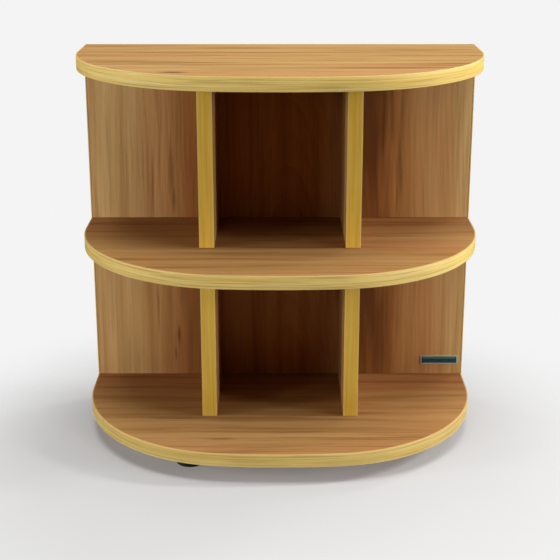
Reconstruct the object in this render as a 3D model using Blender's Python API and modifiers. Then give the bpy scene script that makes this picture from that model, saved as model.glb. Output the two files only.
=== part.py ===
"""Rotating display rack: a half-round, two-tier shelf unit that swivels on a low turntable base.

All dimensions are in metres.  The origin is on the floor, on the swivel axis.  +Z is up and the
open front of the rack faces -Y.  The rack, the ring of balls and the base each hang from an empty
on the swivel axis.  Everything above the ring of balls turns with the rack; the lower bearing
plate, the base board and the feet stand still.
"""

import math

import bmesh
import bpy
from mathutils import Matrix, Vector

# --- Shelf plan: straight rear edge, short straight sides, round corners, slightly bowed front ---
SHELF_WIDTH = 0.534
SHELF_DEPTH = 0.278
FRONT_RADIUS = 0.914
CORNER_RADIUS = 0.2076
FRONT_ARC_STEPS = 8
CORNER_ARC_STEPS = 26

# --- Board stock and the heights of the tiers ---
BOARD = 0.018
UNDERSIDE_HEIGHT = 0.025
LOWER_CLEAR_HEIGHT = 0.221
UPPER_CLEAR_HEIGHT = 0.2245

# --- Upright dividers, two to a tier ---
DIVIDER_THICKNESS = 0.0195
DIVIDER_SPACING = 0.1906
DIVIDER_SETBACK = 0.114

# --- Edge bands, clearances and softened edges ---
BAND = 0.002
GAP = 0.0003
ARRIS = 0.0005

# --- Glued dowels that join the boards ---
DOWEL_RADIUS = 0.004
DOWEL_IN_SHELF = 0.012
DOWEL_IN_UPRIGHT = 0.018
PANEL_DOWEL_X = 0.200
DIVIDER_DOWEL_Y = 0.040

# --- Label plate on the lower back panel ---
LABEL_WIDTH = 0.054
LABEL_HEIGHT = 0.0126
LABEL_THICKNESS = 0.0008
LABEL_X = 0.233
LABEL_RISE = 0.0223

# --- Base: four feet under a rounded board, standing a few degrees out of line with the rack ---
BASE_TURN = math.radians(3.0)
BASE_LENGTH = 0.288
BASE_DEPTH = 0.173
BASE_CORNER = 0.024
BASE_THICKNESS = 0.010
FOOT_HEIGHT = 0.006
FOOT_RADIUS = 0.019
FOOT_EDGE = 0.0008
FOOT_STEPS = 32
FOOT_X = 0.1225
FOOT_Y = 0.0647

# --- Ball bearing: two pressed plates, a caged ring of balls between them ---
PLATE_SIDE = 0.152
PLATE_CORNER = 0.010
PLATE_SHEET = 0.0012
PLATE_SCREW_OFFSET = 0.066
BEARING_HEIGHT = 0.0081
RACE_RADIUS = 0.059
RACE_HALF_WIDTH = 0.005
RACE_WALL_HEIGHT = 0.0022
BALL_RADIUS = 0.0025
BALL_COUNT = 18
CAGE_HALF_WIDTH = 0.0035
CAGE_THICKNESS = 0.0007
COLLAR_RADIUS = 0.040
COLLAR_FLANGE = 0.0055
LIP_STEP = 0.0080
RING_STEPS = 60

# --- Wood screws, and the hole in the base board that gives access to the upper ones ---
SCREW_SHANK_RADIUS = 0.0017
SCREW_HEAD_RADIUS = 0.0040
SCREW_HEAD_HEIGHT = 0.0020
SCREW_STEPS = 14
UPPER_SCREW_LENGTH = 0.012
LOWER_SCREW_LENGTH = 0.009
FOOT_SCREW_LENGTH = 0.011
PILOT_RADIUS = SCREW_SHANK_RADIUS + GAP
PILOT_FLOOR = 0.001
ACCESS_HOLE_RADIUS = 0.009
ACCESS_HOLE_X = PLATE_SCREW_OFFSET * math.sqrt(2)

# --- Positions that follow from the dimensions above ---
REAR_Y = SHELF_DEPTH / 2
FRONT_Y = -SHELF_DEPTH / 2
PANEL_FRONT_Y = REAR_Y - BOARD
DIVIDER_FRONT_Y = FRONT_Y + DIVIDER_SETBACK
BOTTOM_TOP_Z = UNDERSIDE_HEIGHT + BOARD
MIDDLE_UNDER_Z = BOTTOM_TOP_Z + LOWER_CLEAR_HEIGHT
MIDDLE_TOP_Z = MIDDLE_UNDER_Z + BOARD
TOP_UNDER_Z = MIDDLE_TOP_Z + UPPER_CLEAR_HEIGHT
BASE_UNDER_Z = FOOT_HEIGHT + GAP
BASE_TOP_Z = BASE_UNDER_Z + BASE_THICKNESS
BEARING_Z = BASE_TOP_Z + GAP
BEARING_TOP_Z = BEARING_Z + BEARING_HEIGHT
BEARING_MIDDLE_Z = BEARING_Z + BEARING_HEIGHT / 2

# --- Left and right, and the four corners of a plate or of the base ---
SIDES = {"left": -1, "right": 1}
CORNERS = {
    "front_left": (-1, -1),
    "front_right": (1, -1),
    "rear_left": (-1, 1),
    "rear_right": (1, 1),
}
WELD = 0.00001


# ------------------------------------------------------------------------------------------------
# Scene, collections and empties
# ------------------------------------------------------------------------------------------------

def start_clean():
    """Empty the scene, then make one collection for the rack and one for its cutters."""
    for obj in list(bpy.data.objects):
        bpy.data.objects.remove(obj, do_unlink=True)
    for collection in list(bpy.data.collections):
        bpy.data.collections.remove(collection)
    for name in ("rotating_display_rack", "cutters"):
        collection = bpy.data.collections.new(name)
        bpy.context.scene.collection.children.link(collection)


def add_axis(name, turn=0.0):
    """An empty on the swivel axis, from which the pieces of one body hang."""
    empty = bpy.data.objects.new(name, None)
    empty.rotation_euler.z = turn
    bpy.data.collections["rotating_display_rack"].objects.link(empty)
    return empty


# ------------------------------------------------------------------------------------------------
# Materials
# ------------------------------------------------------------------------------------------------

def principled(name, colour, roughness, metallic=0.0):
    """A plain Principled material, made once and then shared by name."""
    if name in bpy.data.materials:
        return bpy.data.materials[name]
    material = bpy.data.materials.new(name)
    material.use_nodes = True
    shader = material.node_tree.nodes["Principled BSDF"]
    shader.inputs["Base Color"].default_value = (*colour, 1.0)
    shader.inputs["Roughness"].default_value = roughness
    shader.inputs["Metallic"].default_value = metallic
    material.diffuse_color = (*colour, 1.0)
    return material


def wood_veneer():
    """Mid-brown wood veneer on the flat faces of the boards."""
    return principled("wood_veneer", (0.42, 0.23, 0.10), 0.45)


def edge_band():
    """Pale ochre edge banding."""
    return principled("edge_band", (0.62, 0.45, 0.17), 0.40)


def beech_dowel():
    """Plain beech."""
    return principled("beech_dowel", (0.66, 0.48, 0.30), 0.60)


def label_teal():
    """Dark teal plate."""
    return principled("label_plate", (0.02, 0.14, 0.17), 0.35)


def black_paint():
    """Satin black paint on the base board."""
    return principled("black_paint", (0.015, 0.015, 0.016), 0.50)


def zinc_steel():
    """Zinc-plated pressed steel of the bearing plates."""
    return principled("zinc_steel", (0.60, 0.61, 0.63), 0.35, 1.0)


def bright_steel():
    """Bright steel of the balls and their cage."""
    return principled("bright_steel", (0.72, 0.72, 0.73), 0.20, 1.0)


def zinc_screw():
    """Zinc-plated screws."""
    return principled("zinc_screw", (0.55, 0.55, 0.56), 0.30, 1.0)


def black_rubber():
    """Black rubber of the feet."""
    return principled("black_rubber", (0.02, 0.02, 0.02), 0.80)


# ------------------------------------------------------------------------------------------------
# Meshes from Blender's modelling tools
# ------------------------------------------------------------------------------------------------

def mesh_from(name, data):
    """Turn a bmesh into a mesh with its faces pointing out, and free the bmesh."""
    bmesh.ops.recalc_face_normals(data, faces=data.faces)
    mesh = bpy.data.meshes.new(name)
    data.to_mesh(mesh)
    data.free()
    return mesh


def applied_mesh(name, source):
    """The shape of a curve or mesh with its modifiers applied, welded into one closed mesh."""
    bpy.context.scene.collection.objects.link(source)
    depsgraph = bpy.context.evaluated_depsgraph_get()
    raw = bpy.data.meshes.new_from_object(source.evaluated_get(depsgraph))
    bpy.data.objects.remove(source, do_unlink=True)
    data = bmesh.new()
    data.from_mesh(raw)
    bpy.data.meshes.remove(raw)
    bmesh.ops.remove_doubles(data, verts=data.verts, dist=WELD)
    return mesh_from(name, data)


def round_shading(mesh):
    """Shade a round piece smooth, keeping its real edges sharp."""
    mesh.shade_smooth()
    mesh.set_sharp_from_angle(angle=math.radians(35))
    return mesh


def block_mesh(name, size):
    """A rectangular block about its own centre."""
    data = bmesh.new()
    bmesh.ops.create_cube(data, size=1.0)
    bmesh.ops.scale(data, vec=size, verts=data.verts)
    return mesh_from(name, data)


def flat_mesh(name, outlines, thickness):
    """A flat piece about its own middle height: an outline, then any holes in it."""
    curve = bpy.data.curves.new(name, "CURVE")
    curve.dimensions = "2D"
    curve.fill_mode = "BOTH"
    curve.extrude = thickness / 2
    for outline in outlines:
        spline = curve.splines.new("POLY")
        spline.points.add(len(outline) - 1)
        for point, (x, y) in zip(spline.points, outline):
            point.co = (x, y, 0.0, 1.0)
        spline.use_cyclic_u = True
    return applied_mesh(name, bpy.data.objects.new(name, curve))


def turned_mesh(name, profiles, steps, closed=True):
    """A shape turned about Z from (radius, height) profiles, each running down its outer side."""
    data = bmesh.new()
    for profile in profiles:
        points = [data.verts.new((radius, 0.0, height)) for radius, height in profile]
        following = points[1:] + points[:1] if closed else points[1:]
        for here, after in zip(points, following):
            data.edges.new((here, after))
    mesh = bpy.data.meshes.new(name)
    data.to_mesh(mesh)
    data.free()
    source = bpy.data.objects.new(name, mesh)
    turning = source.modifiers.new("turn", "SCREW")
    turning.axis = "Z"
    turning.angle = 2 * math.pi
    turning.steps = steps
    turning.render_steps = steps
    turning.use_merge_vertices = True
    turning.merge_threshold = WELD
    return round_shading(applied_mesh(name, source))


def cylinders_mesh(name, cylinders, steps):
    """Upright cylinders, each given as (x, y, radius, low z, high z)."""
    data = bmesh.new()
    for x, y, radius, low_z, high_z in cylinders:
        bmesh.ops.create_cone(
            data,
            cap_ends=True,
            segments=steps,
            radius1=radius,
            radius2=radius,
            depth=high_z - low_z,
            matrix=Matrix.Translation((x, y, (low_z + high_z) / 2)),
        )
    return round_shading(mesh_from(name, data))


# ------------------------------------------------------------------------------------------------
# Pieces, cutters and modifiers
# ------------------------------------------------------------------------------------------------

def add_piece(name, mesh, material, axis, location=(0.0, 0.0, 0.0), flipped=False):
    """Place a mesh as a named piece that hangs from an axis; flipped turns it upside down."""
    if not mesh.materials:
        mesh.materials.append(material)
    piece = bpy.data.objects.new(name, mesh)
    piece.location = location
    piece.parent = axis
    if flipped:
        piece.rotation_euler.x = math.pi
    bpy.data.collections["rotating_display_rack"].objects.link(piece)
    return piece


def combine(piece, tool_mesh, operation):
    """Cut a mesh out of a piece, or join it on; the mesh is placed on the piece's own axis."""
    tool = bpy.data.objects.new(tool_mesh.name, tool_mesh)
    tool.parent = piece.parent
    tool.hide_render = True
    tool.display_type = "WIRE"
    bpy.data.collections["cutters"].objects.link(tool)
    boolean = piece.modifiers.new(tool_mesh.name, "BOOLEAN")
    boolean.operation = operation
    boolean.solver = "EXACT"
    boolean.object = tool


def drill(piece, holes, steps=SCREW_STEPS):
    """Drill upright holes, each given as (x, y, radius, low z, high z)."""
    combine(piece, cylinders_mesh(piece.name + "_holes", holes, steps), "DIFFERENCE")


def soften(piece):
    """Round the sharp edges of a piece by a small arris."""
    bevel = piece.modifiers.new("arris", "BEVEL")
    bevel.width = ARRIS
    bevel.segments = 2
    bevel.limit_method = "ANGLE"
    bevel.angle_limit = math.radians(40)


# ------------------------------------------------------------------------------------------------
# Outlines
# ------------------------------------------------------------------------------------------------

def shelf_path(inset=0.0):
    """The rounded edge of a shelf, from its rear left corner round the front to its rear right.

    The straight sides, the corner arcs and the bowed front all meet without a kink.
    """
    corner_x = SHELF_WIDTH / 2 - CORNER_RADIUS
    front_centre_y = FRONT_Y + FRONT_RADIUS
    between_centres = FRONT_RADIUS - CORNER_RADIUS
    corner_y = front_centre_y - math.sqrt(between_centres ** 2 - corner_x ** 2)
    half_front = math.asin(corner_x / between_centres)
    corner_sweep = math.pi / 2 - half_front
    left = [(inset - SHELF_WIDTH / 2, REAR_Y - inset)]
    for step in range(CORNER_ARC_STEPS + 1):
        angle = math.pi + corner_sweep * step / CORNER_ARC_STEPS
        x = -corner_x + (CORNER_RADIUS - inset) * math.cos(angle)
        y = corner_y + (CORNER_RADIUS - inset) * math.sin(angle)
        left.append((x, y))
    front = []
    for step in range(1, FRONT_ARC_STEPS):
        angle = half_front * (2 * step / FRONT_ARC_STEPS - 1)
        x = (FRONT_RADIUS - inset) * math.sin(angle)
        y = front_centre_y - (FRONT_RADIUS - inset) * math.cos(angle)
        front.append((x, y))
    right = [(-x, y) for x, y in reversed(left)]
    return left + front + right


def circle(radius):
    """A circle about the swivel axis."""
    angles = [2 * math.pi * step / RING_STEPS for step in range(RING_STEPS)]
    return [(radius * math.cos(angle), radius * math.sin(angle)) for angle in angles]


def rounded_rectangle(length, depth, radius, corner_steps=8):
    """A centred rectangle with rounded corners."""
    outline = []
    for quarter, (side_x, side_y) in enumerate(((1, 1), (-1, 1), (-1, -1), (1, -1))):
        centre_x = side_x * (length / 2 - radius)
        centre_y = side_y * (depth / 2 - radius)
        for step in range(corner_steps + 1):
            angle = math.pi / 2 * (quarter + step / corner_steps)
            outline.append((centre_x + radius * math.cos(angle), centre_y + radius * math.sin(angle)))
    return outline


def dowel_columns():
    """Plan position of every column of dowels, by name."""
    columns = {}
    for side, sign in SIDES.items():
        columns[side + "_panel"] = (sign * PANEL_DOWEL_X, REAR_Y - BOARD / 2)
        columns[side + "_divider"] = (sign * DIVIDER_SPACING / 2, DIVIDER_DOWEL_Y)
    return columns


def dowel_levels():
    """Bottom and top of the dowels at each level, by name."""
    return {
        "bottom": (BOTTOM_TOP_Z - DOWEL_IN_SHELF, BOTTOM_TOP_Z + DOWEL_IN_UPRIGHT),
        "middle": (MIDDLE_UNDER_Z - DOWEL_IN_UPRIGHT, MIDDLE_TOP_Z + DOWEL_IN_UPRIGHT),
        "top": (TOP_UNDER_Z - DOWEL_IN_UPRIGHT, TOP_UNDER_Z + DOWEL_IN_SHELF),
    }


def corner_places(offset_x, offset_y):
    """The four corners at an offset from the axis, by name."""
    return {name: (x * offset_x, y * offset_y) for name, (x, y) in CORNERS.items()}


# ------------------------------------------------------------------------------------------------
# Rack: shelves, back panels, dividers, dowels and label
# ------------------------------------------------------------------------------------------------

def dowel_holes(low_z, high_z, columns):
    """Holes for the dowels that enter a board, through it or stopping just past their ends."""
    overshoot = BOARD / 4
    holes = []
    for x, y in columns:
        for dowel_low, dowel_high in dowel_levels().values():
            if dowel_high < low_z or dowel_low > high_z:
                continue
            start = dowel_low - GAP if dowel_low > low_z else low_z - overshoot
            end = dowel_high + GAP if dowel_high < high_z else high_z + overshoot
            holes.append((x, y, DOWEL_RADIUS + GAP, start, end))
    return holes


def add_shelf(name, under_z, axis):
    """A shelf board with its drilled holes, its edge band and its rear band."""
    middle_z = under_z + BOARD / 2
    mesh = flat_mesh(name, [shelf_path(BAND + GAP)], BOARD)
    board = add_piece(name, mesh, wood_veneer(), axis, (0.0, 0.0, middle_z))
    holes = dowel_holes(under_z, under_z + BOARD, dowel_columns().values())
    if name == "bottom_board":
        for x, y in corner_places(PLATE_SCREW_OFFSET, PLATE_SCREW_OFFSET).values():
            holes.append((x, y, PILOT_RADIUS, under_z - GAP, under_z + UPPER_SCREW_LENGTH))
    drill(board, holes)
    add_round_band(name + "_edge_band", middle_z, axis)
    rear_size = (SHELF_WIDTH - 2 * (BAND + GAP), BAND, BOARD)
    rear = block_mesh(name + "_rear_band", rear_size)
    rear_place = (0.0, REAR_Y - BAND / 2, middle_z)
    soften(add_piece(name + "_rear_band", rear, edge_band(), axis, rear_place))


def add_round_band(name, middle_z, axis):
    """The band round the sides and front of a shelf: an upright wall along the shelf's path."""
    data = bmesh.new()
    foot_line = [data.verts.new((x, y, -BOARD / 2)) for x, y in shelf_path()]
    edges = [data.edges.new(pair) for pair in zip(foot_line, foot_line[1:])]
    wall = bmesh.ops.extrude_edge_only(data, edges=edges)
    raised = [part for part in wall["geom"] if isinstance(part, bmesh.types.BMVert)]
    bmesh.ops.translate(data, verts=raised, vec=(0.0, 0.0, BOARD))
    mesh = round_shading(mesh_from(name, data))
    band = add_piece(name, mesh, edge_band(), axis, (0.0, 0.0, middle_z))
    faces_out = mesh.polygons[len(mesh.polygons) // 2].normal.y < 0.0
    solidify = band.modifiers.new("thickness", "SOLIDIFY")
    solidify.thickness = BAND
    solidify.offset = -1.0 if faces_out else 1.0
    solidify.use_even_offset = True
    soften(band)


def add_back_panel(name, low_z, high_z, axis):
    """A full-width back panel, flush with the rear of the shelves, and the bands on its ends."""
    middle_z = (low_z + high_z) / 2
    panel_y = REAR_Y - BOARD / 2
    width = SHELF_WIDTH - 2 * (BAND + GAP)
    mesh = block_mesh(name, (width, BOARD, high_z - low_z))
    panel = add_piece(name, mesh, wood_veneer(), axis, (0.0, panel_y, middle_z))
    columns = [place for column, place in dowel_columns().items() if column.endswith("panel")]
    drill(panel, dowel_holes(low_z, high_z, columns))
    for side, sign in SIDES.items():
        band_name = name + "_" + side + "_band"
        band = block_mesh(band_name, (BAND, BOARD, high_z - low_z))
        place = (sign * (SHELF_WIDTH - BAND) / 2, panel_y, middle_z)
        soften(add_piece(band_name, band, edge_band(), axis, place))


def add_divider(name, x, low_z, high_z, axis):
    """An upright divider that butts against the back panel, and the band on its front edge."""
    middle_z = (low_z + high_z) / 2
    height = high_z - low_z
    front = DIVIDER_FRONT_Y + BAND + GAP
    rear = PANEL_FRONT_Y - GAP
    mesh = block_mesh(name, (DIVIDER_THICKNESS, rear - front, height))
    divider = add_piece(name, mesh, wood_veneer(), axis, (x, (front + rear) / 2, middle_z))
    drill(divider, dowel_holes(low_z, high_z, [(x, DIVIDER_DOWEL_Y)]))
    band = block_mesh(name + "_front_band", (DIVIDER_THICKNESS, BAND, height))
    place = (x, DIVIDER_FRONT_Y + BAND / 2, middle_z)
    soften(add_piece(name + "_front_band", band, edge_band(), axis, place))


def add_tier(tier, floor_z, ceiling_z, axis):
    """One tier: a back panel and two dividers between the shelf below and the shelf above."""
    low_z = floor_z + GAP
    high_z = ceiling_z - GAP
    add_back_panel(tier + "_back_panel", low_z, high_z, axis)
    for side, sign in SIDES.items():
        add_divider(tier + "_" + side + "_divider", sign * DIVIDER_SPACING / 2, low_z, high_z, axis)


def add_dowels(axis):
    """One dowel in every column at every level."""
    for column, (x, y) in dowel_columns().items():
        for level, (low_z, high_z) in dowel_levels().items():
            name = level + "_" + column + "_dowel"
            half = (high_z - low_z) / 2
            mesh = cylinders_mesh(name, [(0.0, 0.0, DOWEL_RADIUS, -half, half)], SCREW_STEPS)
            add_piece(name, mesh, beech_dowel(), axis, (x, y, low_z + half))


def add_label(axis):
    """A small plate fixed to the front of the lower back panel."""
    mesh = block_mesh("label_plate", (LABEL_WIDTH, LABEL_THICKNESS, LABEL_HEIGHT))
    place = (LABEL_X, PANEL_FRONT_Y - GAP - LABEL_THICKNESS / 2, BOTTOM_TOP_Z + LABEL_RISE)
    add_piece("label_plate", mesh, label_teal(), axis, place)


def add_rack(axis):
    """Everything made of board that turns."""
    add_shelf("bottom_board", UNDERSIDE_HEIGHT, axis)
    add_shelf("middle_board", MIDDLE_UNDER_Z, axis)
    add_shelf("top_board", TOP_UNDER_Z, axis)
    add_tier("lower", BOTTOM_TOP_Z, MIDDLE_UNDER_Z, axis)
    add_tier("upper", MIDDLE_TOP_Z, TOP_UNDER_Z, axis)
    add_dowels(axis)
    add_label(axis)


# ------------------------------------------------------------------------------------------------
# Bearing
# ------------------------------------------------------------------------------------------------

def box_profile(inner, outer, low_z, high_z):
    """A rectangular section, running down its outer side."""
    return [(outer, high_z), (outer, low_z), (inner, low_z), (inner, high_z)]


def race_walls(low_z, high_z):
    """Sections of the two walls beside the ball track."""
    inner_edge = RACE_RADIUS - RACE_HALF_WIDTH
    outer_edge = RACE_RADIUS + RACE_HALF_WIDTH
    return [
        box_profile(inner_edge, inner_edge + PLATE_SHEET, low_z, high_z),
        box_profile(outer_edge - PLATE_SHEET, outer_edge, low_z, high_z),
    ]


def add_bearing_plate(name, middle_z, hole_radius, raised, axis):
    """A square plate: drilled sheet with a round opening, joined to its turned walls."""
    square = rounded_rectangle(PLATE_SIDE, PLATE_SIDE, PLATE_CORNER)
    mesh = flat_mesh(name, [square, circle(hole_radius)], PLATE_SHEET)
    plate = add_piece(name, mesh, zinc_steel(), axis, (0.0, 0.0, middle_z))
    combine(plate, turned_mesh(name + "_walls", raised, RING_STEPS), "UNION")
    low_z = middle_z - PLATE_SHEET
    high_z = middle_z + PLATE_SHEET
    corners = corner_places(PLATE_SCREW_OFFSET, PLATE_SCREW_OFFSET)
    drill(plate, [(x, y, PILOT_RADIUS, low_z, high_z) for x, y in corners.values()])


def add_lower_plate(axis):
    """The still plate: ball track, and a collar whose flange holds the upper plate down."""
    middle_z = BEARING_Z + PLATE_SHEET / 2
    wall_top = BEARING_Z + PLATE_SHEET + RACE_WALL_HEIGHT
    flange_top = BEARING_TOP_Z - 2 * GAP
    flange_under = flange_top - PLATE_SHEET
    collar = [
        (COLLAR_RADIUS + COLLAR_FLANGE, flange_top),
        (COLLAR_RADIUS + COLLAR_FLANGE, flange_under),
        (COLLAR_RADIUS + PLATE_SHEET, flange_under),
        (COLLAR_RADIUS + PLATE_SHEET, middle_z),
        (COLLAR_RADIUS, middle_z),
        (COLLAR_RADIUS, flange_top),
    ]
    raised = race_walls(middle_z, wall_top) + [collar]
    hole_radius = COLLAR_RADIUS + PLATE_SHEET / 2
    add_bearing_plate("bearing_lower_plate", middle_z, hole_radius, raised, axis)


def add_upper_plate(axis):
    """The turning plate: ball track, and a stepped lip that runs under the collar's flange."""
    middle_z = BEARING_TOP_Z - PLATE_SHEET / 2
    wall_low = BEARING_TOP_Z - PLATE_SHEET - RACE_WALL_HEIGHT
    lip_top = BEARING_TOP_Z - 3 * GAP - PLATE_SHEET
    lip_under = lip_top - PLATE_SHEET
    lip_inner = COLLAR_RADIUS + PLATE_SHEET + GAP
    step_outer = COLLAR_RADIUS + LIP_STEP
    step_inner = step_outer - PLATE_SHEET
    lip = [
        (step_outer, middle_z),
        (step_outer, lip_under),
        (lip_inner, lip_under),
        (lip_inner, lip_top),
        (step_inner, lip_top),
        (step_inner, middle_z),
    ]
    raised = race_walls(wall_low, middle_z) + [lip]
    add_bearing_plate("bearing_upper_plate", middle_z, step_outer - PLATE_SHEET / 2, raised, axis)


def add_ball_ring(axis):
    """The ring of balls, held in line by a flat cage."""
    rims = [circle(RACE_RADIUS + CAGE_HALF_WIDTH), circle(RACE_RADIUS - CAGE_HALF_WIDTH)]
    cage = flat_mesh("bearing_ball_ring", rims, CAGE_THICKNESS)
    ring = add_piece("bearing_ball_ring", cage, bright_steel(), axis, (0.0, 0.0, BEARING_MIDDLE_Z))
    data = bmesh.new()
    for index in range(BALL_COUNT):
        angle = 2 * math.pi * (index + 0.5) / BALL_COUNT
        place = (RACE_RADIUS * math.cos(angle), RACE_RADIUS * math.sin(angle), BEARING_MIDDLE_Z)
        bmesh.ops.create_uvsphere(
            data,
            u_segments=10,
            v_segments=6,
            radius=BALL_RADIUS,
            matrix=Matrix.Translation(place),
        )
    combine(ring, mesh_from("bearing_balls", data), "UNION")


# ------------------------------------------------------------------------------------------------
# Screws, base board and feet
# ------------------------------------------------------------------------------------------------

def screw_mesh(length):
    """A pan-head screw, head down and point up, with the underside of its head at its origin."""
    profile = [
        (0.0, length),
        (SCREW_SHANK_RADIUS, length - 2.5 * SCREW_SHANK_RADIUS),
        (SCREW_SHANK_RADIUS, 0.0),
        (SCREW_HEAD_RADIUS, 0.0),
        (SCREW_HEAD_RADIUS, -0.55 * SCREW_HEAD_HEIGHT),
        (0.72 * SCREW_HEAD_RADIUS, -SCREW_HEAD_HEIGHT),
        (0.0, -SCREW_HEAD_HEIGHT),
    ]
    blank = bpy.data.objects.new("screw", turned_mesh("screw", [profile], SCREW_STEPS, closed=False))
    recess = bpy.data.objects.new("recess", recess_mesh())
    recess.location.z = -SCREW_HEAD_HEIGHT
    bpy.context.scene.collection.objects.link(recess)
    boolean = blank.modifiers.new("recess", "BOOLEAN")
    boolean.operation = "DIFFERENCE"
    boolean.solver = "EXACT"
    boolean.object = recess
    mesh = round_shading(applied_mesh("screw", blank))
    bpy.data.objects.remove(recess, do_unlink=True)
    return mesh


def recess_mesh():
    """The cross that a screwdriver enters, centred on the face of a screw head."""
    reach = 0.55 * SCREW_HEAD_RADIUS
    half = 0.16 * SCREW_HEAD_RADIUS
    arm = [(half, -half), (reach, -half), (reach, half)]
    cross = []
    for quarter in range(4):
        turn = Matrix.Rotation(math.pi / 2 * quarter, 2)
        for x, y in arm:
            cross.append(tuple(turn @ Vector((x, y))))
    return flat_mesh("recess", [cross], SCREW_HEAD_HEIGHT)


def add_screws(prefix, places, seat_z, length, axis, flipped=False):
    """Screws with the underside of the head at one height, pointing up, or down when flipped."""
    mesh = screw_mesh(length)
    for corner, (x, y) in places.items():
        add_piece(prefix + corner, mesh, zinc_screw(), axis, (x, y, seat_z), flipped)


def add_base_board(axis):
    """The rounded board that carries the bearing, with its pilot holes and its access hole."""
    outline = rounded_rectangle(BASE_LENGTH, BASE_DEPTH, BASE_CORNER)
    mesh = flat_mesh("base_board", [outline], BASE_THICKNESS)
    middle_z = (BASE_UNDER_Z + BASE_TOP_Z) / 2
    board = add_piece("base_board", mesh, black_paint(), axis, (0.0, 0.0, middle_z))
    holes = [(ACCESS_HOLE_X, 0.0, ACCESS_HOLE_RADIUS, BASE_UNDER_Z - GAP, BASE_TOP_Z + GAP)]
    for x, y in corner_places(PLATE_SCREW_OFFSET, PLATE_SCREW_OFFSET).values():
        holes.append((x, y, PILOT_RADIUS, BASE_UNDER_Z + PILOT_FLOOR, BASE_TOP_Z + GAP))
    for x, y in corner_places(FOOT_X, FOOT_Y).values():
        holes.append((x, y, PILOT_RADIUS, BASE_UNDER_Z - GAP, BASE_TOP_Z - PILOT_FLOOR))
    drill(board, holes, steps=24)


def add_feet(axis):
    """Four rubber feet: tapered discs, each with a stepped hole for its screw."""
    bore = PILOT_RADIUS
    recess = SCREW_HEAD_RADIUS + GAP
    recess_top = FOOT_HEIGHT / 2 + GAP
    profile = [
        (FOOT_RADIUS - FOOT_EDGE, FOOT_HEIGHT),
        (FOOT_RADIUS, FOOT_EDGE),
        (FOOT_RADIUS - FOOT_EDGE, 0.0),
        (recess, 0.0),
        (recess, recess_top),
        (bore, recess_top),
        (bore, FOOT_HEIGHT),
    ]
    mesh = turned_mesh("foot", [profile], FOOT_STEPS)
    for corner, (x, y) in corner_places(FOOT_X, FOOT_Y).items():
        add_piece("foot_" + corner, mesh, black_rubber(), axis, (x, y, 0.0))


def add_base(axis):
    """Everything that stands still."""
    plate_corners = corner_places(PLATE_SCREW_OFFSET, PLATE_SCREW_OFFSET)
    lower_seat = BEARING_Z + PLATE_SHEET + GAP
    foot_corners = corner_places(FOOT_X, FOOT_Y)
    add_lower_plate(axis)
    add_screws("lower_plate_screw_", plate_corners, lower_seat, LOWER_SCREW_LENGTH, axis, flipped=True)
    add_base_board(axis)
    add_feet(axis)
    add_screws("foot_screw_", foot_corners, FOOT_HEIGHT / 2, FOOT_SCREW_LENGTH, axis)


def add_upper_bearing(axis):
    """The plate and screws that turn with the rack."""
    corners = corner_places(PLATE_SCREW_OFFSET, PLATE_SCREW_OFFSET)
    seat = BEARING_TOP_Z - PLATE_SHEET - GAP
    add_upper_plate(axis)
    add_screws("upper_plate_screw_", corners, seat, UPPER_SCREW_LENGTH, axis)


def build():
    """Make every piece of the rack."""
    start_clean()
    rack_axis = add_axis("rack_axis")
    add_rack(rack_axis)
    add_upper_bearing(rack_axis)
    add_ball_ring(add_axis("ball_ring_axis"))
    add_base(add_axis("base_axis", BASE_TURN))


build()
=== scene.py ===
"""Looks of the half-round rotating display rack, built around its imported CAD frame.

All dimensions are in metres, in the row frame: the origin is on the floor under the swivel axis,
+Z is up and the open front of the rack faces -Y.  A CAD node's place is in its vertices, so the
"Object" texture coordinates of every piece are row-frame coordinates too.
"""

import math

import bmesh
import bpy
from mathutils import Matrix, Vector


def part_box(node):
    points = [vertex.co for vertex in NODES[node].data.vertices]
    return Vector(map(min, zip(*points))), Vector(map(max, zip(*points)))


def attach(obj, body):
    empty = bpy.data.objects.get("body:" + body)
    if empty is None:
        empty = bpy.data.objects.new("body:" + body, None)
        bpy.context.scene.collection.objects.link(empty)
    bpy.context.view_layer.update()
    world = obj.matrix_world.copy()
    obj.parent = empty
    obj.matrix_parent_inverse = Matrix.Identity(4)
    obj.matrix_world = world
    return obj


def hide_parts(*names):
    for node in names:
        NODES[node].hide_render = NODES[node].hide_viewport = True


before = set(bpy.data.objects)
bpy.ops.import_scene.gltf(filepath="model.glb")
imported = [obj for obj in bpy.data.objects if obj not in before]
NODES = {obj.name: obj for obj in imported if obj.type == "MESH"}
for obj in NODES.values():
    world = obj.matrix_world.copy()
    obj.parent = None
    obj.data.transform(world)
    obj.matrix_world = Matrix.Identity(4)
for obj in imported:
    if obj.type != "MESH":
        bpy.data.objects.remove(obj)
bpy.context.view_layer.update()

# --- Sizes of the shelves and the thickness of their bands, read from the frame ---
BAND_LOW, BAND_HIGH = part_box("top_board_edge_band")
SHELF_WIDTH = BAND_HIGH.x - BAND_LOW.x
FRONT_Y = BAND_LOW.y
REAR_Y = BAND_HIGH.y
REAR_BAND_LOW, REAR_BAND_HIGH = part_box("top_board_rear_band")
BAND = REAR_BAND_HIGH.y - REAR_BAND_LOW.y
SHELVES = ("bottom_board", "middle_board", "top_board")

# --- Plan of a shelf: round corners that run into a slightly bowed front ---
FRONT_RADIUS = 0.914
CORNER_RADIUS = 0.2076
FRONT_ARC_STEPS = 24
CORNER_ARC_STEPS = 56

# --- Fine edges: the rounded arris of a band, and the glue line between a band and its board ---
ARRIS = 0.0008
ARRIS_STEPS = 4
GLUE_LINE = 0.00018
HOLE_CLEARANCE = 0.0003
HOLE_STEPS = 24

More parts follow.
